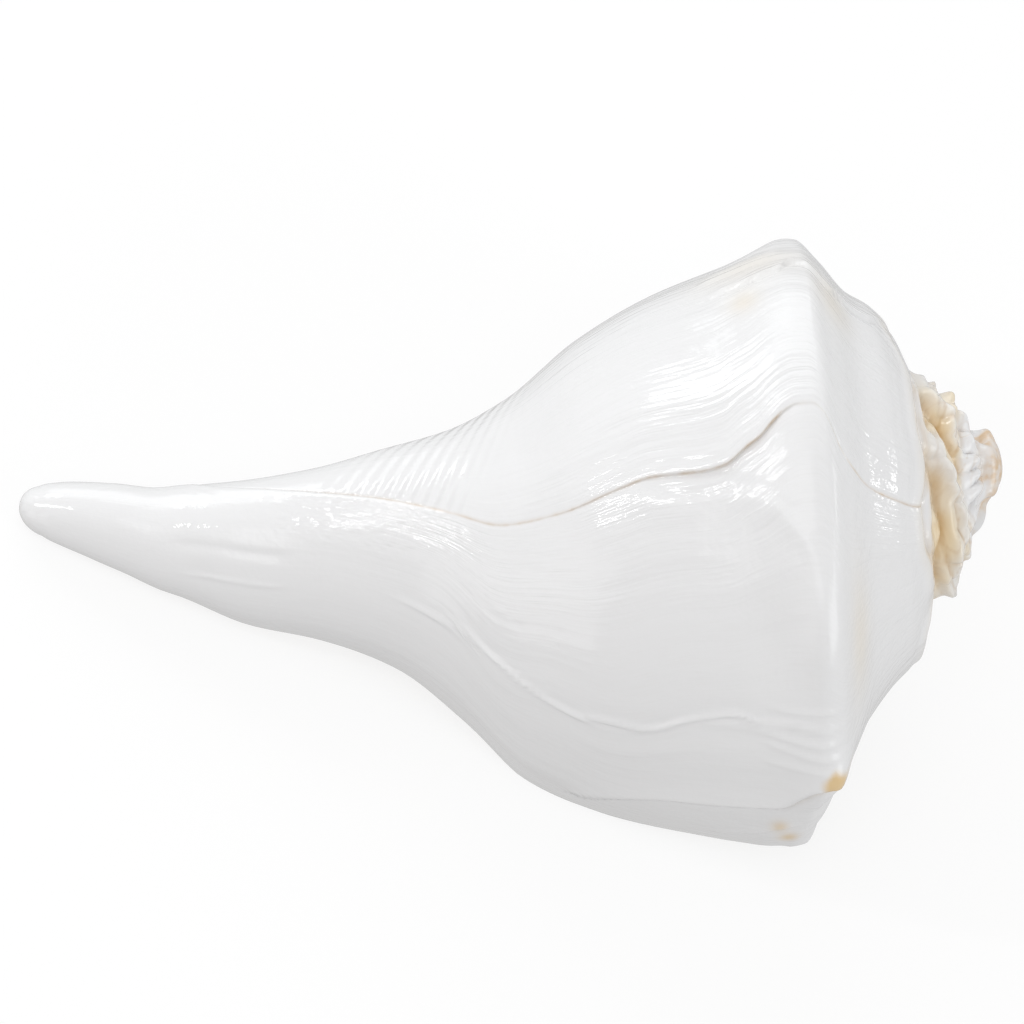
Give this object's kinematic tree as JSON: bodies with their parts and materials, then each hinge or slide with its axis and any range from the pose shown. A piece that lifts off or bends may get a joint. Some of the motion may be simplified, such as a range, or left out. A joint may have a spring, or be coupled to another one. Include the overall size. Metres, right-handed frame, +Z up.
{
  "type": "whelk shell",
  "caption": "Large glossy white left-handed whelk (conch) shell with a knobbed shoulder, low spire and long open siphonal canal, lying on its opening.",
  "frame": {"origin": "middle of the footprint's bounding box, on the ground that the shell rests on", "axes": "+X towards the spire along the shell's length, the end of the siphonal canal at -X, the outer lip on the -Y side, +Z up"},
  "size_m": [0.1942, 0.1182, 0.0962],
  "materials": {
    "shell": "polished white shell with a faint cool tint, tan in the growth breaks and on the spire"
  },
  "bodies": {
    "root": {"shell": "shell"}
  },
  "joints": []
}
